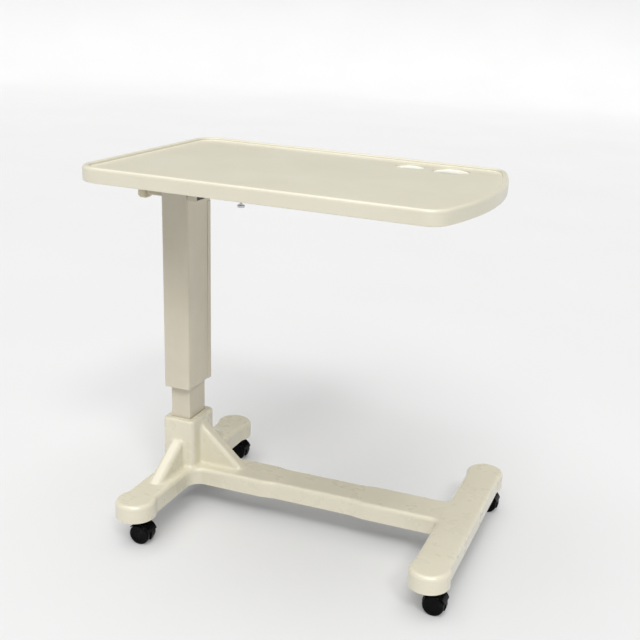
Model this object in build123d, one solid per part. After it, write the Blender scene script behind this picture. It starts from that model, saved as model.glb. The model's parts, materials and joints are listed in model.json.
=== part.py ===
from build123d import *
import math
import os

# Overbed table on castors. Millimetres, +Z up, floor at Z = 0.
# X runs along the tabletop: the column stands at the -X end, the tabletop reaches out to +X.
# Pieces are drawn with the column axis at X = 0 and moved to the centred frame when written.

# ---- castors ----
wheel_d = 42.0
wheel_width = 12.0
wheel_gap = 0.5            # each wheel stays this far from the castor web
web_thickness = 8.0
axle_d = 5.0
axle_clearance = 0.08      # running fit, radial
castor_trail = 14.0        # wheel axis behind the swivel axis
hood_gap = 1.2             # hood to tread
hood_thickness = 1.8
hood_inset = 2.0           # hood narrower than the wheels, each side
stem_d = 10.0
stem_clearance = 0.08
swivel_pin_d = 7.0
stem_collar_d = 20.0
stem_collar_h = 3.0
stem_collar_gap = 0.5      # collar to castor boss
swivel_boss_d = 17.0
castor_head_h = 15.0       # top of the tread to the underside of the base cover
socket_d = 24.0
castor_yaw = {"fl": 0.0, "fr": 0.0, "rl": 0.0, "rr": 0.0}   # trail direction, degrees from +X

# ---- base ----
bar_spacing = 615.0        # left crossbar centre line to right crossbar centre line
castor_spacing = 418.0     # front castor to rear castor
left_bar_width = 66.0
right_bar_width = 71.0
beam_width = 84.0
waist_depth = 5.0          # how much each side of the beam draws in at the middle
waist_length = 168.0
waist_ramp = 32.0
bulb_r = 40.0
base_h = 36.0
base_wall = 3.5
base_edge_r = 8.5
left_corner_r = 28.0
right_corner_r = 13.0
bulb_neck_r = 16.0

# ---- tower and webs of the base cover ----
tower_x = 73.0
tower_y = 95.0
tower_h = 105.0
tower_corner_r = 12.0
tower_edge_r = 5.5
tower_clearance = 1.2      # moulded opening round the inner column
web_width = 29.0
web_edge_r = 9.0
right_web_reach = 99.0     # from the tower face along the beam
right_web_top = 91.0       # above the top of the base
side_web_reach = 98.0
side_web_top = 62.0
blend_r = 7.0              # webs and tower run into each other and into the base

# ---- steel frame inside the base ----
bar_tube_w = 40.0
beam_tube_w = 50.0
tube_h = 20.0
tube_wall = 2.0
tube_above_bottom = 2.5    # tube underside above the rim of the cover
tube_end_overhang = 20.0   # tube runs past the castor centre
flange_x = 56.0
flange_y = 124.0
flange_t = 5.0
flange_bolt_d = 6.0
flange_bolt_dx = 15.0
flange_bolt_dy = 50.0
cover_screw_d = 4.0
hole_play = 0.3            # fastener holes are this much wider than the fastener
plug_play = 0.15           # plastic plugs are this much smaller than the tube, each side

# ---- column ----
inner_x = 43.0
inner_y = 65.0
inner_wall = 2.5
inner_corner_r = 2.0
inner_top_above_tower = 377.0
exposed_height = 72.0      # inner column seen between tower and sleeve, as set
sleeve_x = 58.0
sleeve_y = 95.0
sleeve_wall = 2.5
sleeve_corner_r = 5.0
sleeve_length = 443.0
sleeve_rim_r = 1.1
bush_h = 40.0
bush_clearance = 0.25
bush_lip_h = 3.0
rear_cover_depth = 15.0
rear_cover_t = 1.2

# ---- gas spring ----
cylinder_d = 22.0
cylinder_wall = 1.5
cylinder_length = 440.0
rod_d = 10.0
rod_length = 380.0
rod_clearance = 0.08
foot_h = 22.0
foot_pin_d = 6.0
release_pin_d = 4.0
release_pin_clearance = 0.1
release_pin_up = 4.0       # how far the pin stands out of the rod

# ---- release head and lever ----
head_z_below_sleeve_top = 62.0
head_x = 24.0
head_y = 34.0
head_h = 24.0
head_bolt_d = 6.0
head_bolt_dx = 7.0
pivot_x = -15.0            # pivot pin axis, from the column axis
pivot_above_pin = 5.0
pivot_pin_d = 5.0
lever_w = 14.0
lever_t = 8.0
lever_out = 106.0          # grip end, from the column axis
lever_drop = 15.0          # the lever is cranked down by this much outside the sleeve
lever_crank = 12.0         # length of the crank along X
grip_w = 26.0
grip_h = 20.0
grip_length = 24.0
grip_droop = 4.0           # middle of the grip below the middle of the lever
shank_wall = 2.0           # grip moulding round the lever
slot_play = 4.0

# ---- under the tabletop ----
plate_x = 150.0
plate_y = 290.0
plate_t = 4.0
rail_h = 20.0
rail_w = 25.0
rail_wall = 1.6
rail_spacing = 220.0
rail_setback = 3.0         # rail end inside the edge of the plate
rail_end_gap = 97.0        # rail end to the right end of the tabletop
strap_w = 30.0
strap_t = 4.0
strap_edge_gap = 40.0      # strap end to the long edge of the tabletop
strap_end_gap = 20.0       # last strap to the right end of the rails
first_strap_gap = 36.0     # left end of the rails to the first strap
middle_strap_share = 0.518   # place of the middle strap between the other two
boss_h = 3.0
boss_d = 18.0
top_screw_d = 4.2
top_screw_gap = 11.5       # screw line beyond the outer side of a rail
housing_out = 20.0         # side housing beyond the right face of the sleeve
housing_y0 = -45.5
housing_w = 57.0
housing_h = 43.0
housing_wall = 1.5
housing_bolt_dy = 15.0
stud_share = 0.4437        # place of the studs along the tabletop
stud_d = 13.0
stud_shank_d = 5.0
rail_bolt_d = 6.0
rivet_d = 5.0

# ---- tabletop ----
top_left = -91.0           # left end, from the column axis
top_length = 728.0
top_width = 480.0
bow = 44.0                 # how far the right end bulges past its corners
left_round = 46.0
right_round = 42.0
skirt_depth = 28.0
skirt_wall = 4.0
field_t = 4.0
field_below_rim = 5.0
rim_width = 12.0
rim_outer_r = 6.0
rim_inner_r = 4.0
cup_from_right = (225.0, 139.0)
cup_from_edge = 68.0       # cup centre to the rear edge
cup_r = (30.0, 37.5)
cup_depth = 4.2
cup_pad_gap = 0.3          # underside of a cup stays this far above the straps
cup_foot_r = 2.4
cup_edge_r = 1.2
rib_t = 3.0

# ---- levels, from the floor up ----
base_bottom_z = wheel_d + castor_head_h
base_top_z = base_bottom_z + base_h
tower_top_z = base_top_z + tower_h
tube_z = base_bottom_z + tube_above_bottom
tube_top_z = tube_z + tube_h
flange_top_z = tube_top_z + flange_t
inner_top_z = tower_top_z + inner_top_above_tower
sleeve_bottom_z = tower_top_z + exposed_height
sleeve_top_z = sleeve_bottom_z + sleeve_length
plate_top_z = sleeve_top_z + plate_t
rail_top_z = plate_top_z + rail_h
strap_top_z = rail_top_z + strap_t
field_under_z = strap_top_z + boss_h
field_z = field_under_z + field_t
rim_z = field_z + field_below_rim
skirt_z = rim_z - skirt_depth
head_z = sleeve_top_z - head_z_below_sleeve_top
spring_z = flange_top_z + foot_h
cylinder_top_z = spring_z + cylinder_length
pin_top_z = head_z + head_h + release_pin_up
pivot_z = pin_top_z + pivot_above_pin

top_right = top_left + top_length
rail_left = -plate_x / 2 + rail_setback
rail_right = top_right - rail_end_gap
first_strap_x = rail_left + first_strap_gap
last_strap_x = rail_right - strap_end_gap
middle_strap_x = first_strap_x + middle_strap_share * (last_strap_x - first_strap_x)
strap_x = (first_strap_x, middle_strap_x, last_strap_x)
strap_length = top_width - 2 * strap_edge_gap
stud_x = top_left + stud_share * top_length
cup_x = tuple(top_right - gap for gap in cup_from_right)
cup_y = top_width / 2 - cup_from_edge
top_screw_y = rail_spacing / 2 + rail_w / 2 + top_screw_gap
hood_r = wheel_d / 2 + hood_gap + hood_thickness
left_end = min(top_left, -bulb_r, -lever_out)
right_end = max(top_right, bar_spacing + bulb_r, bar_spacing + castor_trail + hood_r)
centre_x = (left_end + right_end) / 2

castor_y = castor_spacing / 2
castor_at = {"fl": (0, -castor_y), "fr": (bar_spacing, -castor_y),
             "rl": (0, castor_y), "rr": (bar_spacing, castor_y)}

os.makedirs("parts", exist_ok=True)


def write(name, shape):
    """Move a piece from the column frame to the centred frame and write it."""
    export_step(Pos(-centre_x, 0, 0) * shape, "parts/" + name + ".step")


def box(x0, x1, y0, y1, z0, z1):
    """A box between two corners."""
    size = (x1 - x0, y1 - y0, z1 - z0)
    return Pos((x0 + x1) / 2, (y0 + y1) / 2, (z0 + z1) / 2) * Box(*size)


def rod_z(x, y, z0, z1, d):
    """An upright round bar."""
    return Pos(x, y, (z0 + z1) / 2) * Cylinder(d / 2, z1 - z0)


def rod_y(x, z, y0, y1, d):
    """A round bar along Y."""
    return Pos(x, (y0 + y1) / 2, z) * Rot(90, 0, 0) * Cylinder(d / 2, y1 - y0)


def rod_x(y, z, x0, x1, d):
    """A round bar along X."""
    return Pos((x0 + x1) / 2, y, z) * Rot(0, 90, 0) * Cylinder(d / 2, x1 - x0)


def rounded_prism(x, y, r, z0, z1):
    """An upright prism with rounded corners about the column axis."""
    return Pos(0, 0, z0) * extrude(RectangleRounded(x, y, r), z1 - z0)


def group(pieces):
    """Separate solids that share one node."""
    return Compound(children=list(pieces))


# ---------------------------------------------------------------- base cover

def beam_points(side, inset):
    """The waisted long side of the centre beam, from the left bar to the right bar."""
    half = beam_width / 2 - inset
    mid = half - waist_depth
    middle = bar_spacing / 2
    x1 = middle - waist_length / 2 - waist_ramp
    x2 = middle - waist_length / 2
    x3 = middle + waist_length / 2
    x4 = middle + waist_length / 2 + waist_ramp
    return [(0, side * half), (x1, side * half), (x2, side * mid),
            (x3, side * mid), (x4, side * half), (bar_spacing, side * half)]


def near_point(sketch, x, y):
    """The corner of a sketch closest to a point."""
    return min(sketch.vertices(), key=lambda v: math.hypot(v.X - x, v.Y - y))


def base_outline(inset):
    """Plan of the base, drawn in by the wall for the hollow side."""
    front = beam_points(-1, inset)
    rear = beam_points(1, inset)
    plan = make_face(Polyline(*(front + rear[::-1]), close=True))
    bars = ((0, left_bar_width, left_corner_r), (bar_spacing, right_bar_width, right_corner_r))
    for x, width, corner_r in bars:
        plan += Pos(x, 0) * Rectangle(width - 2 * inset, castor_spacing)
        for y in (-castor_y, castor_y):
            plan += Pos(x, y) * Circle(bulb_r - inset)
    half_beam = beam_width / 2 - inset
    for x, width, corner_r in bars:
        toward = 1 if x == 0 else -1
        for side in (-1, 1):
            corner = near_point(plan, x + toward * (width / 2 - inset), side * half_beam)
            plan = fillet(corner, corner_r + inset)
        half_bar = width / 2 - inset
        neck_y = castor_y - math.sqrt((bulb_r - inset) ** 2 - half_bar ** 2)
        for side in (-1, 1):
            for edge in (-1, 1):
                neck = near_point(plan, x + edge * half_bar, side * neck_y)
                plan = fillet(neck, bulb_neck_r + inset)
    for px, py in front[1:5] + rear[1:5]:
        plan = fillet(near_point(plan, px, py), 40.0)
    return plan


def web(reach, top, inset):
    """A sloping web with a rounded ridge, from the tower face out along +X."""
    width = web_width - 2 * inset
    slope = math.hypot(reach, top)
    drop = inset * slope / reach
    foot = inset * slope / top
    z_top = base_top_z + top - drop
    x_end = reach - foot
    low = base_top_z - base_h / 2
    tail = (z_top - base_top_z) / x_end
    under = base_h / 2 / tail
    corners = [(-20, low), (x_end + under, low), (0, z_top), (-20, z_top)]
    profile = make_face(Polyline(*corners, close=True))
    prism = extrude(Plane.XZ * profile, width / 2, both=True)
    ridge = [e for e in prism.edges()
             if abs(e.tangent_at(0.5).Y) < 0.1
             and abs(e.tangent_at(0.5).Z) > 0.1
             and abs(e.tangent_at(0.5).X) > 0.1]
    return fillet(ridge, web_edge_r - inset)


def cover_body(inset):
    """Outside of the base cover, or its hollow when drawn in by the wall."""
    z1 = base_top_z - inset
    body = Pos(0, 0, base_bottom_z) * extrude(base_outline(inset), z1 - base_bottom_z)
    body = fillet(body.faces().sort_by(Axis.Z)[-1].edges(), base_edge_r - inset)
    tower = rounded_prism(tower_x - 2 * inset, tower_y - 2 * inset, tower_corner_r - inset,
                          base_bottom_z, tower_top_z - inset)
    tower = fillet(tower.faces().sort_by(Axis.Z)[-1].edges(), max(tower_edge_r - inset, 1.0))
    body += tower
    body += Pos(tower_x / 2, 0, 0) * web(right_web_reach, right_web_top, inset)
    for turn in (90, -90):
        body += Rot(0, 0, turn) * Pos(tower_y / 2, 0, 0) * web(side_web_reach, side_web_top, inset)
    return body


def in_box(point, x0, x1, y0, y1):
    """True when a point lies in a plan rectangle, edges included."""
    slack = 0.1
    inside_x = x0 - slack < point.X < x1 + slack
    return inside_x and y0 - slack < point.Y < y1 + slack


def foot_edges(body):
    """Edges where the tower and webs meet the top of the base."""
    half = web_width / 2
    tx = tower_x / 2
    ty = tower_y / 2
    feet = [(tx - tower_corner_r, tx, -ty, -half),
            (tx - tower_corner_r, tx, half, ty),
            (half, tx, -ty, -ty + tower_corner_r),
            (half, tx, ty - tower_corner_r, ty),
            (tx, tx + right_web_reach, -half, half),
            (-half, half, ty, ty + side_web_reach),
            (-half, half, -ty - side_web_reach, -ty)]
    found = []
    for edge in body.edges():
        span = edge.bounding_box()
        level = abs(span.min.Z - base_top_z) < 0.05 and abs(span.max.Z - base_top_z) < 0.05
        if level and any(in_box(edge.center(), *foot) for foot in feet):
            found.append(edge)
    return found


def web_root_edges(body):
    """Upright edges where the webs meet the tower."""
    half = web_width / 2
    found = []
    for edge in body.edges().filter_by(Axis.Z):
        point = edge.center()
        on_right = abs(point.X - tower_x / 2) < 0.1 and abs(abs(point.Y) - half) < 0.1
        on_side = abs(abs(point.Y) - tower_y / 2) < 0.1 and abs(abs(point.X) - half) < 0.1
        if on_right or on_side:
            found.append(edge)
    return found


def cover_screw_points():
    """Where the screws pass from the steel frame into the cover."""
    points = []
    for x in (0, bar_spacing):
        for y in (-castor_y + 52, castor_y - 52):
            points.append((x, y))
    points.append((bar_spacing * 0.36, 0))
    points.append((bar_spacing * 0.72, 0))
    return points


def base_cover():
    """One moulded H-shaped shell with tower and webs, open underneath."""
    outside = cover_body(0)
    outside = fillet(foot_edges(outside) + web_root_edges(outside), blend_r)
    shell = outside - cover_body(base_wall)
    shell -= box(-200, bar_spacing + 200, -400, 400, base_bottom_z - 50, base_bottom_z)
    hole_x = inner_x + 2 * tower_clearance
    hole_y = inner_y + 2 * tower_clearance
    shell -= rounded_prism(hole_x, hole_y, inner_corner_r + tower_clearance,
                           tower_top_z - 20, tower_top_z + 20)
    boss_top = base_top_z - base_wall + 1
    for x, y in cover_screw_points():
        shell += rod_z(x, y, tube_top_z, boss_top, 11)
        shell -= rod_z(x, y, tube_top_z - 1, base_top_z - base_wall - 1, cover_screw_d + hole_play)
    return shell


# ---------------------------------------------------------------- steel frame

def tube_along_y(x, y0, y1, width, z0, height, wall):
    """Rectangular tube along Y."""
    outside = box(x - width / 2, x + width / 2, y0, y1, z0, z0 + height)
    bore = box(x - width / 2 + wall, x + width / 2 - wall, y0 - 1, y1 + 1,
               z0 + wall, z0 + height - wall)
    return outside - bore


def tube_along_x(x0, x1, y, width, z0, height, wall):
    """Rectangular tube along X."""
    outside = box(x0, x1, y - width / 2, y + width / 2, z0, z0 + height)
    bore = box(x0 - 1, x1 + 1, y - width / 2 + wall, y + width / 2 - wall,
               z0 + wall, z0 + height - wall)
    return outside - bore


def flange_bolt_points():
    """Bolt pattern of the column flange."""
    return [(sx * flange_bolt_dx, sy * flange_bolt_dy) for sx in (-1, 1) for sy in (-1, 1)]


def crossbar(x):
    """Crossbar tube with castor sockets welded through it."""
    reach = castor_y + tube_end_overhang
    tube = tube_along_y(x, -reach, reach, bar_tube_w, tube_z, tube_h, tube_wall)
    for y in (-castor_y, castor_y):
        tube -= rod_z(x, y, tube_z - 1, tube_top_z + 1, socket_d)
    for px, py in cover_screw_points():
        if px == x:
            tube -= rod_z(px, py, tube_z - 1, tube_top_z + 1, cover_screw_d + hole_play)
    if x == 0:
        for px, py in flange_bolt_points():
            tube -= rod_z(px, py, tube_top_z - tube_wall - 1, tube_top_z + 1,
                          flange_bolt_d + hole_play)
    return tube


def centre_beam():
    """Beam tube between the two crossbars."""
    tube = tube_along_x(bar_tube_w / 2, bar_spacing - bar_tube_w / 2, 0,
                        beam_tube_w, tube_z, tube_h, tube_wall)
    for px, py in cover_screw_points():
        if py == 0:
            tube -= rod_z(px, py, tube_z - 1, tube_top_z + 1, cover_screw_d + hole_play)
    return tube


def tube_plugs():
    """Plastic plugs in the four open ends of the crossbar tubes."""
    plugs = []
    reach = castor_y + tube_end_overhang
    for x in (0, bar_spacing):
        for side in (-1, 1):
            inside = bar_tube_w / 2 - tube_wall - plug_play
            y0, y1 = sorted((side * (reach - 5), side * reach))
            y2, y3 = sorted((side * reach, side * (reach + 2)))
            stopper = box(x - inside, x + inside, y0, y1,
                          tube_z + tube_wall + plug_play, tube_top_z - tube_wall - plug_play)
            head = box(x - bar_tube_w / 2, x + bar_tube_w / 2, y2, y3, tube_z, tube_top_z)
            plugs.append(stopper + head)
    return group(plugs)


def castor_sockets():
    """Round sockets that take the castor stems."""
    sockets = []
    for x, y in castor_at.values():
        body = rod_z(x, y, base_bottom_z + 0.5, tube_top_z + 1.5, socket_d)
        sockets.append(body - rod_z(x, y, base_bottom_z - 1, tube_top_z - 1.5, stem_d))
    return group(sockets)


def castor_stems():
    """Stem, collar and swivel pin of each castor, fixed in its socket."""
    stems = []
    collar_top = base_bottom_z + 0.5
    collar_bottom = collar_top - stem_collar_h
    for x, y in castor_at.values():
        stem = rod_z(x, y, collar_bottom, tube_top_z - 2.5, stem_d)
        stem += rod_z(x, y, collar_bottom, collar_top, stem_collar_d)
        stem += rod_z(x, y, swivel_bottom_z(), collar_bottom + 0.5, swivel_pin_d)
        stems.append(stem)
    return group(stems)


def cover_screws():
    """Pan-head screws up through the tubes into the cover bosses."""
    screws = []
    for x, y in cover_screw_points():
        head_z0 = tube_z - 2.0
        shank = rod_z(x, y, tube_z - 0.5, base_top_z - base_wall - 2, cover_screw_d)
        head = rod_z(x, y, head_z0, tube_z, 8.5)
        head = fillet(head.faces().sort_by(Axis.Z)[0].edges(), 0.8)
        slot = box(x - 2.6, x + 2.6, y - 0.5, y + 0.5, head_z0 - 1, head_z0 + 0.9)
        cross = box(x - 0.5, x + 0.5, y - 2.6, y + 2.6, head_z0 - 1, head_z0 + 0.9)
        screws.append(head + shank - slot - cross)
    return group(screws)


def hexagon(width, z0, z1):
    """Upright hexagonal prism, width across flats."""
    return Pos(0, 0, z0) * extrude(RegularPolygon(width / 2, 6, major_radius=False), z1 - z0)


def column_flange():
    """Foot plate of the inner column."""
    plate = box(-flange_x / 2, flange_x / 2, -flange_y / 2, flange_y / 2,
                tube_top_z, flange_top_z)
    plate = fillet(plate.edges().filter_by(Axis.Z), 8)
    for x, y in flange_bolt_points():
        plate -= rod_z(x, y, tube_top_z - 1, flange_top_z + 1, flange_bolt_d + hole_play)
    return plate


def flange_bolts():
    """Hexagon bolts that hold the foot plate to the crossbar tube."""
    bolts = []
    for x, y in flange_bolt_points():
        shank = rod_z(x, y, tube_top_z - tube_wall - 3, flange_top_z + 0.5, flange_bolt_d)
        bolts.append(shank + Pos(x, y, 0) * hexagon(10, flange_top_z, flange_top_z + 3.6))
    return group(bolts)


# ---------------------------------------------------------------- column

def inner_column():
    """Rectangular steel tube welded to the foot plate."""
    tube = rounded_prism(inner_x, inner_y, inner_corner_r, flange_top_z, inner_top_z)
    tube -= rounded_prism(inner_x - 2 * inner_wall, inner_y - 2 * inner_wall, 0.5,
                          flange_top_z - 1, inner_top_z + 1)
    return tube


def sleeve_bore(z0, z1, clearance):
    """Prism that fits inside the sleeve with a clearance all round."""
    return rounded_prism(sleeve_x - 2 * sleeve_wall - 2 * clearance,
                         sleeve_y - 2 * sleeve_wall - 2 * clearance,
                         sleeve_corner_r - sleeve_wall, z0, z1)


def upper_bush():
    """Nylon glide on the top of the inner column, running inside the sleeve."""
    z0 = inner_top_z - bush_h
    ring = sleeve_bore(z0, inner_top_z, bush_clearance)
    ring -= rounded_prism(inner_x, inner_y, inner_corner_r, z0 - 1, inner_top_z + 1)
    cap = sleeve_bore(inner_top_z, inner_top_z + bush_lip_h, bush_clearance)
    cap -= rounded_prism(inner_x - 2 * inner_wall, inner_y - 2 * inner_wall, 0.5,
                         inner_top_z - 1, inner_top_z + bush_lip_h + 1)
    return ring + cap


def lower_bush():
    """Nylon glide in the mouth of the sleeve, running on the inner column."""
    z0 = sleeve_bottom_z + 3
    ring = sleeve_bore(z0, z0 + bush_h, 0)
    ring -= rounded_prism(inner_x + 2 * bush_clearance, inner_y + 2 * bush_clearance,
                          inner_corner_r + bush_clearance, z0 - 1, z0 + bush_h + 1)
    return ring


def lever_slot():
    """Slot in the left wall of the sleeve for the lever."""
    half = lever_w / 2 + slot_play / 2
    return box(-sleeve_x / 2 - 2, -sleeve_x / 2 + sleeve_wall + 2, -half, half,
               pivot_z - lever_t / 2 - slot_play, pivot_z + lever_t / 2 + slot_play)


def outer_sleeve():
    """Rectangular sleeve that carries the tabletop, with a rounded lower rim."""
    tube = rounded_prism(sleeve_x, sleeve_y, sleeve_corner_r, sleeve_bottom_z, sleeve_top_z)
    tube -= rounded_prism(sleeve_x - 2 * sleeve_wall, sleeve_y - 2 * sleeve_wall,
                          sleeve_corner_r - sleeve_wall, sleeve_bottom_z - 1, sleeve_top_z + 1)
    tube = fillet(tube.faces().sort_by(Axis.Z)[0].outer_wire().edges(), sleeve_rim_r)
    tube -= lever_slot()
    for x in (-head_bolt_dx, head_bolt_dx):
        tube -= rod_y(x, head_z + head_h / 2, sleeve_y / 2 - 5, sleeve_y / 2 + 5, head_bolt_d)
    y, z = housing_middle()
    for dy in (-housing_bolt_dy, housing_bolt_dy):
        tube -= rod_x(y + dy, z, sleeve_x / 2 - 5, sleeve_x / 2 + 5, 5 + hole_play)
    return tube


def sleeve_rear_cover():
    """Thin clip-on cover over the rear face and its two edges."""
    z0 = sleeve_bottom_z
    z1 = sleeve_top_z - housing_h - 14
    outside = rounded_prism(sleeve_x + 2 * rear_cover_t, sleeve_y + 2 * rear_cover_t,
                            sleeve_corner_r + rear_cover_t, z0, z1)
    outside -= rounded_prism(sleeve_x, sleeve_y, sleeve_corner_r, z0 - 1, z1 + 1)
    keep = box(-sleeve_x, sleeve_x, sleeve_y / 2 - rear_cover_depth, sleeve_y, z0, z1)
    return outside & keep


# ---------------------------------------------------------------- gas spring

def spring_foot():
    """Clevis that holds the lower end of the gas spring."""
    block = box(-13, 13, -9, 9, flange_top_z, spring_z - 2)
    block -= box(-6, 6, -10, 10, flange_top_z + 5, spring_z + 1)
    return block - rod_x(0, flange_top_z + 12, -20, 20, foot_pin_d)


def spring_foot_pin():
    """Cross pin of the lower clevis."""
    return rod_x(0, flange_top_z + 12, -14, 14, foot_pin_d)


def spring_cylinder():
    """Pressure tube with a lug for the clevis."""
    tube = rod_z(0, 0, spring_z, cylinder_top_z, cylinder_d)
    bore_d = cylinder_d - 2 * cylinder_wall
    tube -= rod_z(0, 0, spring_z + 4, cylinder_top_z + 1, bore_d)
    lug = box(-5.6, 5.6, -7, 7, flange_top_z + 5.4, spring_z + 0.5)
    lug -= rod_x(0, flange_top_z + 12, -20, 20, foot_pin_d)
    return tube + lug


def spring_gland():
    """Rod guide and seal in the mouth of the pressure tube."""
    bore_d = cylinder_d - 2 * cylinder_wall
    ring = rod_z(0, 0, cylinder_top_z - 16, cylinder_top_z, bore_d)
    return ring - rod_z(0, 0, cylinder_top_z - 20, cylinder_top_z + 4, rod_d + 2 * rod_clearance)


def spring_rod():
    """Hollow piston rod, held in the release head, with its piston."""
    top = head_z + head_h
    rod = rod_z(0, 0, top - rod_length, top, rod_d)
    piston_d = cylinder_d - 2 * cylinder_wall - 0.6
    rod += rod_z(0, 0, top - rod_length, top - rod_length + 14, piston_d)
    bore = rod_z(0, 0, top - 34, top + 1, release_pin_d + 2 * release_pin_clearance)
    return rod - bore


def release_pin():
    """Valve pin in the top of the rod, pressed down by the lever."""
    return rod_z(0, 0, head_z + head_h - 30, pin_top_z, release_pin_d)


def release_head():
    """Block across the sleeve that holds the rod and the lever pivot."""
    span = sleeve_y / 2 - sleeve_wall
    block = box(-head_x / 2, head_x / 2, -span, span, head_z, head_z + head_h)
    for side in (-1, 1):
        y0, y1 = sorted((side * (lever_w / 2 + 0.6), side * head_y / 2))
        ear = box(pivot_x - 7, head_x / 2, y0, y1, head_z + 2, pivot_z + 6)
        ear = fillet(ear.edges().filter_by(Axis.Y).sort_by(Axis.Z)[-2:], 4)
        block += ear
    block -= rod_z(0, 0, head_z - 1, head_z + head_h + 1, rod_d)
    block -= rod_y(pivot_x, pivot_z, -head_y, head_y, pivot_pin_d)
    for x in (-head_bolt_dx, head_bolt_dx):
        block -= rod_y(x, head_z + head_h / 2, span - 16, span + 1, head_bolt_d)
    return block


def head_bolts():
    """Bolts through the rear wall of the sleeve into the release head."""
    bolts = []
    z = head_z + head_h / 2
    face = sleeve_y / 2
    for x in (-head_bolt_dx, head_bolt_dx):
        head = rod_y(x, z, face, face + 2.6, 11.5)
        head = fillet(head.faces().sort_by(Axis.Y)[-1].edges(), 1.6)
        bolts.append(head + rod_y(x, z, face - sleeve_wall - 14, face, head_bolt_d))
    return group(bolts)


def pivot_pin():
    """Pin that the lever turns on."""
    return rod_y(pivot_x, pivot_z, -head_y / 2, head_y / 2, pivot_pin_d)


# ---------------------------------------------------------------- lever

def crank_start():
    """X where the lever starts to drop, just outside the sleeve."""
    return -sleeve_x / 2 - 4


def lever_bar():
    """Cranked bar of the lever, from over the valve pin to inside the grip."""
    low = pivot_z - lever_t / 2
    high = low + lever_t
    x0 = crank_start()
    x1 = x0 - lever_crank
    end = -lever_out + 12
    side = Polyline((5, high), (x0, high), (x1, high - lever_drop), (end, high - lever_drop),
                    (end, low - lever_drop), (x1, low - lever_drop), (x0, low), (5, low),
                    close=True)
    return extrude(Plane.XZ * make_face(side), lever_w / 2, both=True)


def release_lever():
    """Flat steel lever; its inner end rests over the valve pin."""
    arm = lever_bar()
    nose_gap = 0.3
    nose = rod_y(0, pin_top_z + nose_gap + 3, -lever_w / 2, lever_w / 2, 6)
    arm += nose
    return arm - rod_y(pivot_x, pivot_z, -20, 20, pivot_pin_d + 0.16)


def grip_shape():
    """Outside of the grip: a slim shank that ends in a rounded bulb."""
    x0 = -lever_out
    middle = pivot_z - lever_drop
    z0 = middle - grip_droop - grip_h / 2
    bulb = box(x0, x0 + grip_length, -grip_w / 2, grip_w / 2, z0, z0 + grip_h)
    bulb = fillet(bulb.edges(), 8)
    half_y = lever_w / 2 + shank_wall
    half_z = lever_t / 2 + shank_wall
    shank = box(x0 + grip_length / 2, crank_start() - lever_crank - 2, -half_y, half_y,
                middle - half_z, middle + half_z)
    shank = fillet(shank.edges().filter_by(Axis.X), 3)
    return bulb + shank


def lever_grip():
    """Moulded grip pushed over the outer end of the lever."""
    return grip_shape() - lever_bar()


# ---------------------------------------------------------------- under the tabletop

def sleeve_top_plate():
    """Steel plate welded on the sleeve."""
    plate = box(-plate_x / 2, plate_x / 2, -plate_y / 2, plate_y / 2, sleeve_top_z, plate_top_z)
    plate = fillet(plate.edges().filter_by(Axis.Z), 12)
    for x, y in rail_bolt_points():
        plate -= rod_z(x, y, sleeve_top_z - 1, plate_top_z + 1, rail_bolt_d + hole_play)
    return plate


def rail_bolt_points():
    """Bolts between the plate and the rails."""
    reach = plate_x / 2 - 28
    return [(sx * reach, sy * rail_spacing / 2) for sx in (-1, 1) for sy in (-1, 1)]


def rail(y):
    """Rail that carries the tabletop out over the bed."""
    tube = tube_along_x(rail_left, rail_right, y, rail_w, plate_top_z, rail_h, rail_wall)
    for x, by in rail_bolt_points():
        if by == y:
            tube -= rod_z(x, y, plate_top_z - 1, plate_top_z + rail_wall + 1,
                          rail_bolt_d + hole_play)
    for x in strap_x:
        tube -= rod_z(x, y, rail_top_z - rail_wall - 1, rail_top_z + 1, rivet_d + hole_play)
    return tube


def rail_bolts():
    """Bolts and nuts between the plate and the rails."""
    bolts = []
    for x, y in rail_bolt_points():
        bolt = rod_z(x, y, sleeve_top_z - 0.5, plate_top_z + rail_wall + 7, rail_bolt_d)
        bolt += Pos(x, y, 0) * hexagon(10, sleeve_top_z - 4, sleeve_top_z)
        bolt += Pos(x, y, 0) * hexagon(10, plate_top_z + rail_wall,
                                       plate_top_z + rail_wall + 5)
        bolts.append(bolt)
    return group(bolts)


def rail_caps():
    """Plastic end caps of the rails."""
    caps = []
    for y in (-rail_spacing / 2, rail_spacing / 2):
        for x, out in ((rail_left, -1), (rail_right, 1)):
            half = rail_w / 2 - rail_wall - plug_play
            x0, x1 = sorted((x, x - out * 8))
            x2, x3 = sorted((x, x + out * 2))
            plug = box(x0, x1, y - half, y + half,
                       plate_top_z + rail_wall + plug_play, rail_top_z - rail_wall - plug_play)
            head = box(x2, x3, y - rail_w / 2, y + rail_w / 2, plate_top_z, rail_top_z)
            caps.append(plug + head)
    return group(caps)


def straps():
    """Cross straps on the rails that the tabletop is screwed to."""
    pieces = []
    for x in strap_x:
        strap = box(x - strap_w / 2, x + strap_w / 2, -strap_length / 2, strap_length / 2,
                    rail_top_z, strap_top_z)
        strap = fillet(strap.edges().filter_by(Axis.Z), 6)
        for sy in (-1, 1):
            strap -= rod_z(x, sy * top_screw_y, rail_top_z - 1, strap_top_z + 1,
                           top_screw_d + hole_play)
            strap -= rod_z(x, sy * rail_spacing / 2, rail_top_z - 1, strap_top_z + 1,
                           rivet_d + hole_play)
        pieces.append(strap)
    return group(pieces)


def strap_rivets():
    """Rivets that hold the straps to the rails."""
    rivets = []
    for x in strap_x:
        for sy in (-1, 1):
            y = sy * rail_spacing / 2
            rivet = rod_z(x, y, rail_top_z - rail_wall - 2, strap_top_z, rivet_d)
            rivet += rod_z(x, y, rail_top_z - rail_wall - 3.5, rail_top_z - rail_wall, 8)
            rivet += rod_z(x, y, strap_top_z, strap_top_z + 1.2, 9)
            rivets.append(rivet)
    return group(rivets)


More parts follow.
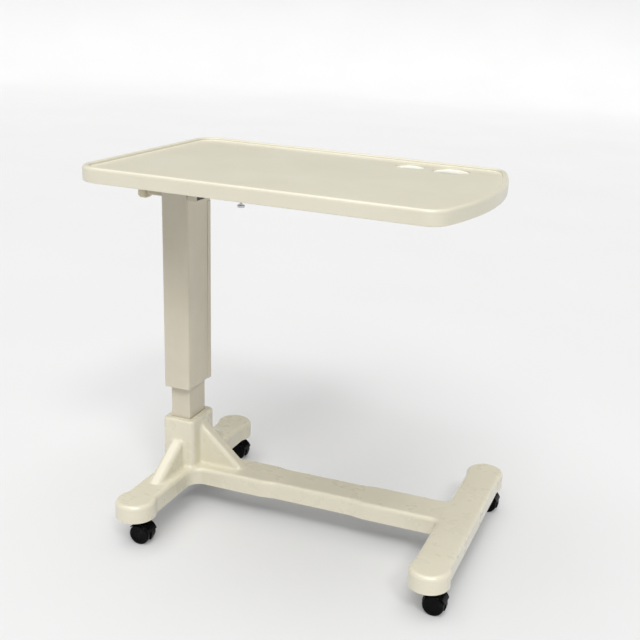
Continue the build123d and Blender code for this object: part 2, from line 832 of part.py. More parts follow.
def top_screw_points():
    """Screws that hold the tabletop to the straps."""
    return [(x, sy * top_screw_y) for x in strap_x for sy in (-1, 1)]


def top_screws():
    """Pan-head screws up into the bosses of the tabletop."""
    screws = []
    for x, y in top_screw_points():
        shank = rod_z(x, y, rail_top_z - 0.5, field_under_z + 1.5, top_screw_d)
        head = rod_z(x, y, rail_top_z - 2.4, rail_top_z, 9)
        screws.append(shank + head)
    return group(screws)


def housing_box(inset, x_end):
    """Outside of the side housing, drawn in by its wall, ending at a given X."""
    face = sleeve_x / 2
    return box(face + inset, face + x_end, housing_y0 + inset, housing_y0 + housing_w - inset,
               sleeve_top_z - housing_h + inset, sleeve_top_z - inset)


def housing_middle():
    """Middle of the side housing, as Y and Z."""
    return housing_y0 + housing_w / 2, sleeve_top_z - housing_h / 2


def side_housing():
    """Folded steel housing on the right face of the sleeve, open to the right."""
    y, z = housing_middle()
    shell = housing_box(0, housing_out) - housing_box(housing_wall, housing_out + 5)
    for dy in (-housing_bolt_dy, housing_bolt_dy):
        shell -= rod_x(y + dy, z, sleeve_x / 2 - 1, sleeve_x / 2 + 10, 5 + hole_play)
    return shell


def side_housing_bolts():
    """Bolts that hold the housing to the sleeve."""
    y, z = housing_middle()
    face = sleeve_x / 2
    bolts = []
    for dy in (-housing_bolt_dy, housing_bolt_dy):
        bolt = rod_x(y + dy, z, face - sleeve_wall - 4, face + housing_wall + 0.5, 5)
        bolt += rod_x(y + dy, z, face + housing_wall, face + housing_wall + 2.6, 9)
        bolts.append(bolt)
    return group(bolts)


def housing_plug():
    """Black plug in the open end of the housing."""
    y, z = housing_middle()
    body = housing_box(housing_wall + plug_play, housing_out - 1.5)
    body -= box(0, sleeve_x / 2 + housing_out - 9, -200, 200, 0, sleeve_top_z)
    return body - rod_x(y, z - 9, sleeve_x / 2 + housing_out - 20,
                        sleeve_x / 2 + housing_out + 5, 4 + hole_play)


def housing_plug_screw():
    """Screw of the plug."""
    y, z = housing_middle()
    out = sleeve_x / 2 + housing_out - 1.5
    screw = rod_x(y, z - 9, out - 10, out + 0.5, 4)
    return screw + rod_x(y, z - 9, out, out + 2.2, 8)


def stud_y():
    """Hanging studs stand this far from the centre line."""
    return top_width / 2 - 24


def hanging_studs():
    """Turned spool studs under the front and rear edges, for a bag or towel."""
    studs = []
    for sy in (-1, 1):
        y = sy * stud_y()
        low = skirt_z - 13
        stud = rod_z(stud_x, y, low, field_under_z + 1.5, stud_shank_d)
        stud += rod_z(stud_x, y, low, low + 3.4, stud_d)
        stud += rod_z(stud_x, y, low + 9, field_under_z - boss_h, stud_d - 4)
        studs.append(stud)
    return group(studs)


# ---------------------------------------------------------------- tabletop

def top_outline():
    """Plan of the tabletop: straight left end, bowed right end, rounded corners."""
    half = top_width / 2
    corner_x = top_right - bow
    line = Polyline((corner_x, half), (top_left, half), (top_left, -half), (corner_x, -half))
    arc = ThreePointArc((corner_x, -half), (top_right, 0), (corner_x, half))
    plan = make_face(Curve() + [line, arc])
    for x, y, r in ((top_left, -half, left_round), (top_left, half, left_round),
                    (corner_x, -half, right_round), (corner_x, half, right_round)):
        plan = fillet(near_point(plan, x, y), r)
    return plan


def drawn_in(inset):
    """The tabletop plan drawn in all round."""
    return offset(top_outline(), amount=-inset)


def slab(plan, z0, z1):
    """A plan extruded between two levels."""
    return Pos(0, 0, z0) * extrude(plan, z1 - z0)


def stiffening_ribs():
    """Low crossing ribs under the field."""
    inside = slab(drawn_in(skirt_wall), field_under_z - boss_h, field_under_z)
    ribs = []
    for k in range(-3, 4):
        y = k * (top_width / 2 - 30) / 3.0
        ribs.append(box(top_left, top_right, y - rib_t / 2, y + rib_t / 2,
                        field_under_z - boss_h, field_under_z + 0.5))
    count = 8
    for k in range(count):
        x = top_left + 50 + k * (top_length - 130) / (count - 1)
        ribs.append(box(x - rib_t / 2, x + rib_t / 2, -top_width / 2, top_width / 2,
                        field_under_z - boss_h, field_under_z + 0.5))
    net = ribs[0]
    for rib in ribs[1:]:
        net += rib
    return net & slab(drawn_in(skirt_wall - 0.5), field_under_z - boss_h, field_under_z + 0.5)


def table_top():
    """Moulded tray with a raised rounded rim, a deep skirt and two cup recesses."""
    tray = slab(top_outline(), skirt_z, rim_z)
    tray = fillet(tray.faces().sort_by(Axis.Z)[-1].edges(), rim_outer_r)
    tray = fillet(tray.faces().sort_by(Axis.Z)[0].edges(), 1.5)
    tray -= slab(drawn_in(skirt_wall), skirt_z - 1, field_under_z)
    pocket = slab(drawn_in(rim_width), field_z, rim_z + 6)
    pocket = fillet(pocket.faces().sort_by(Axis.Z)[0].edges(), 1.6)
    tray -= pocket
    tray += stiffening_ribs()
    for x, r in zip(cup_x, cup_r):
        low = strap_top_z + cup_pad_gap
        tray += rod_z(x, cup_y, low, field_under_z + 0.5, 2 * r + 6)
    for x, y in top_screw_points():
        tray += rod_z(x, y, strap_top_z, field_under_z + 0.5, boss_d)
        tray -= rod_z(x, y, strap_top_z - 1, field_under_z + 1.5, top_screw_d + hole_play)
    for sy in (-1, 1):
        tray += rod_z(stud_x, sy * stud_y(), strap_top_z, field_under_z + 0.5, boss_d)
        tray -= rod_z(stud_x, sy * stud_y(), strap_top_z - 1, field_under_z + 1.5,
                      stud_shank_d + hole_play)
    for x in strap_x:
        for sy in (-1, 1):
            y = sy * rail_spacing / 2
            tray -= rod_z(x, y, strap_top_z - 1, strap_top_z + 1.7, 11)
    for x, r in zip(cup_x, cup_r):
        recess = rod_z(x, cup_y, field_z - cup_depth, field_z + 10, 2 * r)
        recess = fillet(recess.faces().sort_by(Axis.Z)[0].edges(), cup_foot_r)
        tray -= recess
    rim = [e for e in tray.edges().filter_by(GeomType.CIRCLE)
           if abs(e.center().Z - field_z) < 0.01
           and any(abs(e.radius - r) < 0.01 for r in cup_r)
           and abs(e.arc_center.Y - cup_y) < 0.01]
    tray = fillet(rim, cup_edge_r)
    crest = [e for e in tray.edges()
             if abs(e.center().Z - rim_z) < 0.01
             and abs(e.bounding_box().min.Z - rim_z) < 0.01]
    inner = [e for e in crest if is_inner_crest(e)]
    return fillet(inner, rim_inner_r - 0.7)


def is_inner_crest(edge):
    """True for edges where the rim meets the pocket, not the outer round."""
    point = edge.position_at(0.5)
    half = top_width / 2
    step = rim_width - 0.5
    inside_y = abs(point.Y) < half - step + 0.6
    inside_x = point.X > top_left + step - 0.6 and point.X < top_right - step + 0.6
    near_y = abs(point.Y) > half - rim_width - 0.6
    near_left = point.X < top_left + rim_width + 0.6
    if near_y and inside_y:
        return True
    if near_left and inside_x:
        return True
    return inside_x and inside_y


# ---------------------------------------------------------------- castors

def swivel_bottom_z():
    """Lower end of the swivel pin."""
    return wheel_d - 2.0


def placed(key, shape):
    """Turn a castor piece about its swivel axis and move it to its corner."""
    x, y = castor_at[key]
    return Pos(x, y, 0) * Rot(0, 0, castor_yaw[key]) * shape


def wheel_centre_y(side):
    """Middle of a wheel, from the castor's middle plane."""
    return side * (web_thickness / 2 + wheel_gap + wheel_width / 2)


def castor_housing(key):
    """Hooded web with the swivel boss."""
    half = web_thickness / 2 + wheel_gap + wheel_width
    axle_z = wheel_d / 2
    cheek = half - hood_inset
    disc = rod_y(castor_trail, axle_z, -cheek, cheek, 2 * hood_r)
    hollow = rod_y(castor_trail, axle_z, -half - 1, half + 1, 2 * (hood_r - hood_thickness))
    hood = disc - hollow
    sector = make_face(Polyline((0, 0), (-60, 40), (-60, 80), (80, 80), (80, 24), close=True))
    sector = Pos(castor_trail, 0, axle_z) * extrude(Plane.XZ * sector, 60, both=True)
    hood = hood & sector
    web_disc = rod_y(castor_trail, axle_z, -web_thickness / 2, web_thickness / 2,
                     2 * (hood_r - 0.5))
    low_cut = box(-40, 80, -40, 40, -20, axle_z - 12)
    body = hood + (web_disc - low_cut)
    boss_bottom = wheel_d - 12
    boss_top = base_bottom_z + 0.5 - stem_collar_h - stem_collar_gap
    boss = rod_z(0, 0, boss_bottom, boss_top, swivel_boss_d)
    boss = fillet(boss.faces().sort_by(Axis.Z)[-1].edges(), 1.5)
    gusset = box(-3, castor_trail, -web_thickness / 2, web_thickness / 2,
                 wheel_d / 2, wheel_d + 6)
    wheels = rod_y(castor_trail, axle_z, -half - 1, half + 1, wheel_d + 1.2)
    middle = box(-80, 80, -web_thickness / 2, web_thickness / 2, -10, 200)
    body += (boss - (wheels - middle)) + gusset
    body -= rod_z(0, 0, swivel_bottom_z() - 1, base_bottom_z, swivel_pin_d + 2 * stem_clearance)
    return body - rod_y(castor_trail, axle_z, -60, 60, axle_d)


def castor_axle():
    """Axle pressed through the web, carrying a wheel on each side."""
    half = web_thickness / 2 + wheel_gap + wheel_width - 3
    return rod_y(castor_trail, wheel_d / 2, -half, half, axle_d)


def castor_wheel(side):
    """One of the twin wheels: rounded tread, dished outer face, hub bore."""
    y = wheel_centre_y(side)
    wheel = rod_y(castor_trail, wheel_d / 2, y - wheel_width / 2, y + wheel_width / 2, wheel_d)
    outer = wheel.faces().sort_by(Axis.Y)[-1 if side > 0 else 0]
    inner = wheel.faces().sort_by(Axis.Y)[0 if side > 0 else -1]
    wheel = fillet(outer.edges(), 3.6)
    inner = wheel.faces().filter_by(GeomType.PLANE).sort_by(Axis.Y)[0 if side > 0 else -1]
    wheel = fillet(inner.edges(), 1.2)
    face = y + side * wheel_width / 2
    y0, y1 = sorted((face - side * 1.2, face + side * 2))
    dish = rod_y(castor_trail, wheel_d / 2, y0, y1, wheel_d - 16)
    y2, y3 = sorted((y - side * wheel_width, face - side * 2.6))
    bore = rod_y(castor_trail, wheel_d / 2, y2, y3, axle_d + 2 * axle_clearance)
    return wheel - dish - bore


# ---------------------------------------------------------------- write every piece

write("base_cover", base_cover())
write("frame_crossbar_left", crossbar(0))
write("frame_crossbar_right", crossbar(bar_spacing))
write("frame_centre_beam", centre_beam())
write("frame_tube_plugs", tube_plugs())
write("castor_sockets", castor_sockets())
write("castor_stems", castor_stems())
write("cover_screws", cover_screws())
write("column_flange", column_flange())
write("flange_bolts", flange_bolts())
write("inner_column", inner_column())
write("upper_bush", upper_bush())
write("spring_foot", spring_foot())
write("spring_foot_pin", spring_foot_pin())
write("spring_cylinder", spring_cylinder())
write("spring_gland", spring_gland())

write("outer_sleeve", outer_sleeve())
write("sleeve_rear_cover", sleeve_rear_cover())
write("lower_bush", lower_bush())
write("spring_rod", spring_rod())
write("release_head", release_head())
write("head_bolts", head_bolts())
write("pivot_pin", pivot_pin())
write("sleeve_top_plate", sleeve_top_plate())
write("rail_front", rail(-rail_spacing / 2))
write("rail_rear", rail(rail_spacing / 2))
write("rail_bolts", rail_bolts())
write("rail_caps", rail_caps())
write("cross_straps", straps())
write("strap_rivets", strap_rivets())
write("side_housing", side_housing())
write("side_housing_bolts", side_housing_bolts())
write("housing_plug", housing_plug())
write("housing_plug_screw", housing_plug_screw())
write("hanging_studs", hanging_studs())
write("top_screws", top_screws())
write("table_top", table_top())

write("release_pin", release_pin())
write("release_lever", release_lever())
write("lever_grip", lever_grip())

for key in castor_at:
    write("castor_" + key + "_housing", placed(key, castor_housing(key)))
    write("castor_" + key + "_axle", placed(key, castor_axle()))
    write("castor_" + key + "_wheel_a", placed(key, castor_wheel(-1)))
    write("castor_" + key + "_wheel_b", placed(key, castor_wheel(1)))
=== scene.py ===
"""Looks of the overbed table: materials, floor, light and camera round the CAD frame."""
import json
import math

import bmesh
import bpy
from mathutils import Matrix, Vector


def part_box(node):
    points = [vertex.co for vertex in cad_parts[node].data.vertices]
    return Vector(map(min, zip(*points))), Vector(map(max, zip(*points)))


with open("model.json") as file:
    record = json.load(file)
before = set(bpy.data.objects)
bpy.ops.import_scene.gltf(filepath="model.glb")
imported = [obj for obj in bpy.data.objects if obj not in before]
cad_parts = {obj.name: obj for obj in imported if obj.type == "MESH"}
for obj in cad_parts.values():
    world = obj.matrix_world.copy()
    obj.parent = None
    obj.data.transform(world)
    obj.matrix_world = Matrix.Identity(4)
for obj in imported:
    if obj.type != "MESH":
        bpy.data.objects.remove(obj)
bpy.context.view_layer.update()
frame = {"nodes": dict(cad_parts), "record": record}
nodes = frame["nodes"]

MM = 0.001

# colours, as linear light
WHITE = (1.0, 1.0, 1.0)
IVORY = (0.80, 0.757, 0.610)
IVORY_SHADE = (0.765, 0.722, 0.572)
IVORY_RUBBED = (0.86, 0.83, 0.71)
TRAY = (0.81, 0.774, 0.632)
TRAY_SHADE = (0.775, 0.738, 0.592)
TRAY_RUBBED = (0.87, 0.85, 0.74)
# paler colour of the cup recesses: a painted reflection of the bright surroundings in their polished
# floors
CUP_PAINTED_REFLECTION = (0.90, 0.885, 0.785)
GRIP = (0.66, 0.60, 0.45)
GRIP_SHADE = (0.60, 0.54, 0.39)
GRIP_RUBBED = (0.72, 0.67, 0.54)
BEIGE = (0.70, 0.645, 0.525)
BEIGE_SHADE = (0.655, 0.600, 0.478)
BEIGE_RUBBED = (0.78, 0.74, 0.64)
ZINC = (0.60, 0.61, 0.62)
ZINC_BLUISH = (0.54, 0.555, 0.58)
ZINC_DULL = (0.46, 0.46, 0.45)
ZINC_BRIGHT = (0.74, 0.75, 0.76)
CHARCOAL = (0.045, 0.046, 0.049)
CHARCOAL_PALE = (0.060, 0.061, 0.064)
CHARCOAL_WORN = (0.16, 0.16, 0.165)
BLACK = (0.010, 0.010, 0.011)
BLACK_SCUFFED = (0.045, 0.044, 0.042)
BLACK_WORN = (0.075, 0.074, 0.072)
CASTOR_BLACK = (0.003, 0.003, 0.0032)
CASTOR_WORN = (0.060, 0.058, 0.055)
NYLON = (0.74, 0.72, 0.64)
NYLON_SHADE = (0.66, 0.63, 0.53)
CHROME = (0.72, 0.73, 0.75)
CHROME_OILED = (0.60, 0.585, 0.55)
DUST = (0.36, 0.34, 0.30)
FLOOR = (0.64, 0.64, 0.64)
FLOOR_SHADE = (0.625, 0.625, 0.625)
SKY = (1.0, 0.995, 0.985)

# cup recesses: from the tabletop's right end, from its rear edge, and radius
CUPS = ((225 * MM, 68 * MM, 30 * MM), (139 * MM, 68 * MM, 37.5 * MM))
CUP_EDGE = 1.0 * MM       # width of the step in colour and gloss at a recess's edge
CUP_POLISH = 0.75         # share of the roughness that is missing in a recess

# sockets of the Mix node that carry its factor and its colours
MIX_AMOUNT = 0
MIX_FIRST = 6
MIX_SECOND = 7
MIX_RESULT = 2

# edge mask: cosine between the true and the bevelled normal where it starts and where it is full
EDGE_START = 0.97
EDGE_FULL = 0.84
BEVEL_SAMPLES = 4


# ---- node helpers ----

def opaque(colour):
    return (*colour, 1.0)


class Surface:
    """A material and the short calls that add nodes to it."""

    def __init__(self, name):
        self.material = bpy.data.materials.new(name)
        self.material.use_nodes = True
        self.tree = self.material.node_tree
        self.tree.nodes.clear()
        self.shader = self.tree.nodes.new("ShaderNodeBsdfPrincipled")
        output = self.tree.nodes.new("ShaderNodeOutputMaterial")
        self.link(self.shader.outputs["BSDF"], output.inputs["Surface"])
        self.place = self.tree.nodes.new("ShaderNodeTexCoord").outputs["Object"]

    @classmethod
    def of(cls, material):
        """Opens a finished material again, to lay something over it."""
        s = cls.__new__(cls)
        s.material = material
        s.tree = material.node_tree
        s.shader = next(n for n in s.tree.nodes if n.type == "BSDF_PRINCIPLED")
        s.place = next(n for n in s.tree.nodes if n.type == "TEX_COORD").outputs["Object"]
        return s

    def link(self, source, target):
        self.tree.links.new(source, target)

    def source_of(self, name):
        return self.shader.inputs[name].links[0].from_socket

    def set(self, **values):
        """Sets constants on the shader's own sockets, with _ for each space in a socket's name."""
        for name, value in values.items():
            self.shader.inputs[name.replace("_", " ")].default_value = value

    def colour(self, value):
        self.link(value, self.shader.inputs["Base Color"])

    def roughness(self, value):
        self.link(value, self.shader.inputs["Roughness"])

    def bumps(self, *layers):
        """Each layer is a height and the depth in metres that it stands for."""
        normal = None
        for height, depth in layers:
            bump = self.tree.nodes.new("ShaderNodeBump")
            bump.inputs["Strength"].default_value = 1.0
            bump.inputs["Distance"].default_value = depth
            self.link(height, bump.inputs["Height"])
            if normal is not None:
                self.link(normal, bump.inputs["Normal"])
            normal = bump.outputs["Normal"]
        self.link(normal, self.shader.inputs["Normal"])

    def stretched(self, scale):
        """Object coordinates multiplied by scale: a pattern runs longest where scale is least."""
        mapping = self.tree.nodes.new("ShaderNodeMapping")
        mapping.inputs["Scale"].default_value = scale
        self.link(self.place, mapping.inputs["Vector"])
        return mapping.outputs["Vector"]

    def noise(self, scale, detail=2.0, roughness=0.5, place=None):
        texture = self.tree.nodes.new("ShaderNodeTexNoise")
        texture.inputs["Scale"].default_value = scale
        texture.inputs["Detail"].default_value = detail
        texture.inputs["Roughness"].default_value = roughness
        self.link(place or self.place, texture.inputs["Vector"])
        return texture.outputs["Fac"]

    def cells(self, scale):
        texture = self.tree.nodes.new("ShaderNodeTexVoronoi")
        texture.inputs["Scale"].default_value = scale
        self.link(self.place, texture.inputs["Vector"])
        return texture.outputs["Distance"]

    def remap(self, value, low, high, to_low=0.0, to_high=1.0):
        ranged = self.tree.nodes.new("ShaderNodeMapRange")
        ranged.inputs["From Min"].default_value = low
        ranged.inputs["From Max"].default_value = high
        ranged.inputs["To Min"].default_value = to_low
        ranged.inputs["To Max"].default_value = to_high
        self.link(value, ranged.inputs["Value"])
        return ranged.outputs["Result"]

    def between(self, mask, low, high):
        """Runs from low to high as the mask runs from nought to one."""
        return self.remap(mask, 0.0, 1.0, low, high)

    def math(self, operation, first, second):
        made = self.tree.nodes.new("ShaderNodeMath")
        made.operation = operation
        for socket, value in zip(made.inputs, (first, second)):
            if isinstance(value, (int, float)):
                socket.default_value = value
            else:
                self.link(value, socket)
        return made.outputs["Value"]

    def mix(self, amount, first, second):
        """From the first colour to the second as amount runs from nought to one."""
        made = self.tree.nodes.new("ShaderNodeMix")
        made.data_type = "RGBA"
        self.link(amount, made.inputs[MIX_AMOUNT])
        for index, value in ((MIX_FIRST, first), (MIX_SECOND, second)):
            socket = made.inputs[index]
            if isinstance(value, tuple):
                socket.default_value = opaque(value)
            else:
                self.link(value, socket)
        return made.outputs[MIX_RESULT]

    def lay(self, under, over, mask, strength):
        """Covers one colour with another where the mask is one, as far as strength says."""
        return self.mix(self.math("MULTIPLY", mask, strength), under, over)

    def edges(self, width):
        """One on a convex or concave edge narrower than width, nought on a flat face."""
        bevel = self.tree.nodes.new("ShaderNodeBevel")
        bevel.samples = BEVEL_SAMPLES
        bevel.inputs["Radius"].default_value = width
        true = self.tree.nodes.new("ShaderNodeNewGeometry")
        along = self.tree.nodes.new("ShaderNodeVectorMath")
        along.operation = "DOT_PRODUCT"
        self.link(bevel.outputs["Normal"], along.inputs[0])
        self.link(true.outputs["Normal"], along.inputs[1])
        return self.remap(along.outputs["Value"], EDGE_START, EDGE_FULL)

    def worn_edges(self, width, scale):
        """Edges broken up by patches, as handling wears them."""
        patches = self.remap(self.noise(scale, detail=4.0, roughness=0.6), 0.42, 0.66)
        return self.math("MULTIPLY", self.edges(width), patches)

    def polished_disc_with_painted_reflection(self, centre, radius):
        """A cup recess: smoother inside an upright cylinder round centre, and paler there with a
        painted reflection.
        """
        flat = self.tree.nodes.new("ShaderNodeVectorMath")
        flat.operation = "MULTIPLY"
        flat.inputs[1].default_value = (1.0, 1.0, 0.0)
        self.link(self.place, flat.inputs[0])
        away = self.tree.nodes.new("ShaderNodeVectorMath")
        away.operation = "DISTANCE"
        away.inputs[1].default_value = centre
        self.link(flat.outputs["Vector"], away.inputs[0])
        inside = self.remap(away.outputs["Value"], radius, radius - CUP_EDGE)
        # paler colour inside the recess: a painted reflection laid over the moulding's own colour
        self.colour(self.mix(inside, self.source_of("Base Color"), CUP_PAINTED_REFLECTION))
        keep = self.math("SUBTRACT", 1.0, self.math("MULTIPLY", inside, CUP_POLISH))
        self.roughness(self.math("MULTIPLY", keep, self.source_of("Roughness")))


# ---- materials ----

def moulded_plastic(name, colour, shade, rubbed, rough, grain_depth, skin=0.14):
    """Moulded plastic: faint clouds and flow lines, a fine grain, paler rubbed edges, a gloss skin."""
    s = Surface(name)
    clouds = s.remap(s.noise(7.0, detail=3.0, roughness=0.55), 0.35, 0.65)
    flow = s.remap(s.noise(3.0, place=s.stretched((1.0, 4.0, 6.0))), 0.3, 0.7)
    worn = s.worn_edges(1.6 * MM, scale=38.0)
    base = s.mix(clouds, shade, colour)
    base = s.lay(base, shade, flow, 0.35)
    base = s.lay(base, rubbed, worn, 0.25)
    s.colour(base)
    streaks = s.noise(60.0, detail=3.0, place=s.stretched((1.0, 3.0, 1.0)))
    scuffs = s.remap(streaks, 0.20, 0.90, to_high=0.012)
    uneven = s.remap(s.noise(22.0), 0.2, 0.8, to_low=rough - 0.01, to_high=rough + 0.015)
    s.roughness(s.math("ADD", uneven, scuffs))
    grain = s.noise(450.0)
    ripple = s.noise(26.0, detail=1.0, roughness=0.4)
    s.bumps((ripple, 0.015 * MM), (grain, grain_depth))
    s.set(IOR=1.49, Specular_IOR_Level=0.5, Coat_Weight=skin, Coat_Roughness=0.10)
    return s.material


def cover_plastic():
    return moulded_plastic("cover_plastic", IVORY, IVORY_SHADE, IVORY_RUBBED,
                           rough=0.27, grain_depth=0.004 * MM, skin=0.50)


def tray_plastic():
    """The tray's moulding, polished in its two cup recesses and a little paler there with a painted
    reflection.
    """
    material = moulded_plastic("tray_plastic", TRAY, TRAY_SHADE, TRAY_RUBBED,
                               rough=0.34, grain_depth=0.035 * MM)
    s = Surface.of(material)
    right_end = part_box("table_top")[1]
    for from_right, from_rear, radius in CUPS:
        centre = (right_end.x - from_right, right_end.y - from_rear, 0.0)
        s.polished_disc_with_painted_reflection(centre, radius)
    return material


def grip_plastic():
    return moulded_plastic("grip_plastic", GRIP, GRIP_SHADE, GRIP_RUBBED,
                           rough=0.28, grain_depth=0.015 * MM)


def beige_paint():
    """Powder coat on steel: orange peel, a little unevenness, rubbed lighter along its edges."""
    s = Surface("beige_paint")
    clouds = s.remap(s.noise(9.0, detail=3.0, roughness=0.6), 0.35, 0.65)
    upright = s.stretched((6.0, 6.0, 0.5))
    streaks = s.remap(s.noise(14.0, detail=4.0, roughness=0.6, place=upright), 0.46, 0.74)
    worn = s.worn_edges(1.2 * MM, scale=55.0)
    base = s.mix(clouds, BEIGE_SHADE, BEIGE)
    base = s.lay(base, BEIGE_SHADE, streaks, 0.22)
    base = s.lay(base, BEIGE_RUBBED, worn, 0.40)
    s.colour(base)
    rough = s.between(streaks, 0.34, 0.44)
    uneven = s.remap(s.noise(300.0), 0.3, 0.7, to_low=-0.02, to_high=0.03)
    s.roughness(s.math("ADD", rough, uneven))
    peel = s.noise(420.0, roughness=0.55)
    pores = s.noise(2200.0, detail=1.0)
    s.bumps((peel, 0.045 * MM), (pores, 0.010 * MM))
    s.set(IOR=1.5, Coat_Weight=0.15, Coat_Roughness=0.22)
    return s.material


def zinc_steel():
    """Bright zinc plate: crystalline patches, fine rolling lines, duller patches, bright edges."""
    s = Surface("zinc_steel")
    spangle = s.remap(s.cells(420.0), 0.2, 0.8)
    dull = s.remap(s.noise(70.0, detail=4.0, roughness=0.65), 0.40, 0.70)
    base = s.mix(spangle, ZINC, ZINC_BLUISH)
    base = s.lay(base, ZINC_DULL, dull, 0.6)
    base = s.lay(base, ZINC_BRIGHT, s.edges(0.5 * MM), 0.5)
    s.colour(base)
    rough = s.between(dull, 0.22, 0.42)
    glitter = s.between(spangle, 0.0, 0.06)
    s.roughness(s.math("ADD", rough, glitter))
    lines = s.noise(260.0, detail=3.0, roughness=0.7, place=s.stretched((1.0, 1.0, 14.0)))
    s.bumps((lines, 0.012 * MM), (spangle, 0.006 * MM))
    s.set(Metallic=1.0)
    return s.material


def dark_steel():
    """Dark paint on the hidden frame: pebbled, dusty in patches, worn paler at the edges."""
    s = Surface("dark_steel")
    dusty = s.remap(s.noise(18.0, detail=5.0, roughness=0.65), 0.50, 0.78)
    worn = s.worn_edges(0.8 * MM, scale=90.0)
    clouds = s.remap(s.noise(40.0, detail=3.0), 0.3, 0.7)
    base = s.mix(clouds, CHARCOAL, CHARCOAL_PALE)
    base = s.lay(base, DUST, dusty, 0.22)
    base = s.lay(base, CHARCOAL_WORN, worn, 0.8)
    s.colour(base)
    s.roughness(s.between(dusty, 0.40, 0.66))
    pebbles = s.cells(700.0)
    swells = s.noise(110.0, detail=3.0)
    s.bumps((pebbles, 0.035 * MM), (swells, 0.05 * MM))
    s.set(IOR=1.5)
    return s.material


def black_plastic():
    """Black nylon with a satin grain and greyish rub marks."""
    s = Surface("black_plastic")
    rubbed = s.remap(s.noise(120.0, detail=5.0, roughness=0.7), 0.48, 0.76)
    worn = s.worn_edges(0.6 * MM, scale=110.0)
    base = s.lay(BLACK, BLACK_SCUFFED, rubbed, 0.5)
    base = s.lay(base, BLACK_WORN, worn, 0.6)
    s.colour(base)
    s.roughness(s.between(rubbed, 0.34, 0.52))
    grain = s.noise(1600.0, roughness=0.6)
    s.bumps((grain, 0.030 * MM))
    s.set(IOR=1.5)
    return s.material


def castor_plastic():
    """Polished black castor moulding with fine scratches, rubbed edges and a trace of dust."""
    s = Surface("castor_plastic")
    narrow_in_x = s.stretched((5.0, 1.0, 1.0))
    scratches = s.remap(s.noise(90.0, detail=6.0, roughness=0.75, place=narrow_in_x), 0.52, 0.74)
    worn = s.worn_edges(0.9 * MM, scale=140.0)
    dusty = s.remap(s.noise(45.0, detail=4.0, roughness=0.6), 0.55, 0.80)
    base = s.lay(CASTOR_BLACK, BLACK_SCUFFED, scratches, 0.20)
    base = s.lay(base, CASTOR_WORN, worn, 0.35)
    base = s.lay(base, DUST, dusty, 0.03)
    s.colour(base)
    rough = s.between(scratches, 0.16, 0.34)
    s.roughness(s.math("ADD", rough, s.math("MULTIPLY", dusty, 0.18)))
    grain = s.noise(1100.0)
    s.bumps((grain, 0.012 * MM), (scratches, 0.008 * MM))
    s.set(IOR=1.45, Specular_IOR_Level=0.09)
    return s.material


def nylon():
    """Natural nylon bushes: waxy, slightly translucent, polished in upright streaks."""
    s = Surface("nylon")
    clouds = s.remap(s.noise(60.0, detail=3.0), 0.3, 0.7)
    upright = s.stretched((4.0, 4.0, 0.4))
    polished = s.remap(s.noise(35.0, detail=4.0, roughness=0.6, place=upright), 0.45, 0.70)
    s.colour(s.mix(clouds, NYLON, NYLON_SHADE))
    s.roughness(s.between(polished, 0.52, 0.34))
    grain = s.noise(800.0)
    s.bumps((grain, 0.02 * MM))
    s.set(IOR=1.53, Subsurface_Weight=0.15, Subsurface_Scale=2.0 * MM)
    return s.material


def chrome_rod():
    """Ground and hard-chromed piston rod with faint grinding rings and an oil film."""
    s = Surface("chrome_rod")
    rings = s.noise(500.0, roughness=0.6, place=s.stretched((0.2, 0.2, 6.0)))
    film = s.remap(s.noise(40.0, detail=4.0, roughness=0.6), 0.45, 0.75)
    s.colour(s.mix(film, CHROME, CHROME_OILED))
    s.roughness(s.between(film, 0.07, 0.20))
    s.bumps((rings, 0.004 * MM))
    s.set(Metallic=1.0)
    return s.material


def pale_floor():
    """Seamless studio floor with the faintest clouds, glowing a little so that it stays pale."""
    s = Surface("pale_floor")
    clouds = s.remap(s.noise(1.3), 0.3, 0.7)
    s.colour(s.mix(clouds, FLOOR_SHADE, FLOOR))
    s.set(Emission_Color=opaque(WHITE), Emission_Strength=0.16)
    s.roughness(s.remap(s.noise(60.0, detail=3.0), 0.3, 0.7, to_low=0.82, to_high=0.90))
    s.bumps((s.noise(350.0), 0.05 * MM))
    s.set(Specular_IOR_Level=0.15)
    s.material.cycles.emission_sampling = "NONE"
    return s.material


# ---- dressing the CAD nodes ----

def dress(node, material):
    slots = nodes[node].data.materials
    if not slots:
        slots.append(material)
    for i in range(len(slots)):
        slots[i] = material


def dress_all():
    """Each node gets its slot's material; the castors' black is a smoother one than the caps'."""
    by_slot = {
        "cover_plastic": cover_plastic(),
        "tray_plastic": tray_plastic(),
        "grip_plastic": grip_plastic(),
        "beige_paint": beige_paint(),
        "zinc_steel": zinc_steel(),
        "dark_steel": dark_steel(),
        "black_plastic": black_plastic(),
        "nylon": nylon(),
        "chrome_rod": chrome_rod(),
    }
    castor = castor_plastic()
    for part in frame["record"]["subparts"]:
        name = part["node"]
        slot = part["material_slot"]
        is_castor = name.startswith("castor_") and slot == "black_plastic"
        dress(name, castor if is_castor else by_slot[slot])


# ---- studio ----

def floor_profile():
    """Radius and height of each ring of the floor: flat, then curving up at the rim."""
    reach = 9.0
    rise = 2.4
    rim_angle = 80.0
    rim_steps = 14
    profile = [(reach * share, 0.0) for share in (0.12, 0.3, 0.6, 0.85)]
    for i in range(rim_steps + 1):
        angle = math.radians(rim_angle * i / rim_steps)
        profile.append((reach + rise * math.sin(angle), rise * (1 - math.cos(angle))))
    return profile


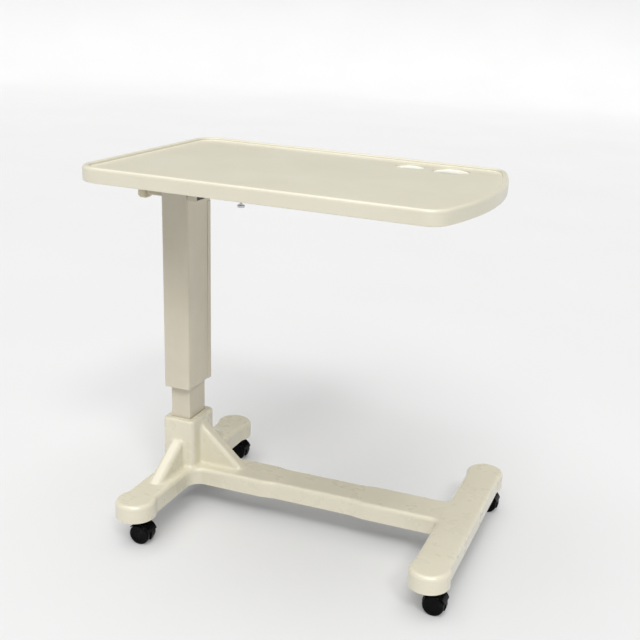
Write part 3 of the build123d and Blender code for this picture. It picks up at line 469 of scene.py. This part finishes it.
def build_floor():
    """A wide round floor whose rim curves up, so that no horizon shows."""
    around = 96
    mesh = bmesh.new()
    loops = []
    for radius, height in floor_profile():
        loop = []
        for k in range(around):
            turn = 2 * math.pi * k / around
            loop.append(mesh.verts.new((radius * math.cos(turn), radius * math.sin(turn), height)))
        loops.append(loop)
    mesh.faces.new(loops[0])
    for inner, outer in zip(loops, loops[1:]):
        for k in range(around):
            n = (k + 1) % around
            mesh.faces.new((inner[k], outer[k], outer[n], inner[n]))
    data = bpy.data.meshes.new("floor")
    mesh.to_mesh(data)
    mesh.free()
    data.materials.append(pale_floor())
    for face in data.polygons:
        face.use_smooth = True
    floor = bpy.data.objects.new("floor", data)
    bpy.context.scene.collection.objects.link(floor)


def build_sky(strength):
    world = bpy.data.worlds.new("studio")
    world.use_nodes = True
    back = world.node_tree.nodes["Background"]
    back.inputs["Color"].default_value = opaque(SKY)
    back.inputs["Strength"].default_value = strength
    bpy.context.scene.world = world


def sun(name, bearing, height, strength, spread):
    """Bearing 0 shines from the front, towards +Y; positive bearings come from the +X side."""
    data = bpy.data.lights.new(name, "SUN")
    data.energy = strength
    data.angle = math.radians(spread)
    lamp = bpy.data.objects.new(name, data)
    b = math.radians(bearing)
    h = math.radians(height)
    source = Vector((math.sin(b) * math.cos(h), -math.cos(b) * math.cos(h), math.sin(h)))
    lamp.rotation_mode = "QUATERNION"
    lamp.rotation_quaternion = source.to_track_quat("Z", "Y")
    bpy.context.scene.collection.objects.link(lamp)


def build_camera():
    """In front of the table, beyond its free end, looking down from above the tabletop."""
    place = Vector((0.7273, -1.7227, 1.0722))
    yaw = math.radians(-17.06)
    pitch = math.radians(18.60)
    roll = math.radians(-3.59)
    ahead = Vector((math.sin(yaw) * math.cos(pitch), math.cos(yaw) * math.cos(pitch), -math.sin(pitch)))
    level = Vector((math.cos(yaw), -math.sin(yaw), 0.0))
    down = ahead.cross(level)
    right = level * math.cos(roll) + down * math.sin(roll)
    down = down * math.cos(roll) - level * math.sin(roll)
    turn = Matrix((right, -down, -ahead)).transposed()
    data = bpy.data.cameras.new("camera")
    data.sensor_width = 36.0
    data.lens = 55.31
    data.shift_x = -0.1318
    data.shift_y = 0.0123
    data.clip_start = 0.05
    data.clip_end = 60.0
    camera = bpy.data.objects.new("camera", data)
    camera.matrix_world = Matrix.Translation(place) @ turn.to_4x4()
    bpy.context.scene.collection.objects.link(camera)
    bpy.context.scene.camera = camera


def build_studio():
    build_floor()
    build_sky(strength=0.10)
    sun("key", bearing=12.0, height=50.0, strength=1.15, spread=34.0)
    sun("overhead", bearing=-60.0, height=84.0, strength=1.95, spread=60.0)
    sun("glint", bearing=42.0, height=45.0, strength=0.62, spread=11.0)
    bpy.context.scene.view_settings.view_transform = "Standard"


build_camera()
dress_all()
build_studio()
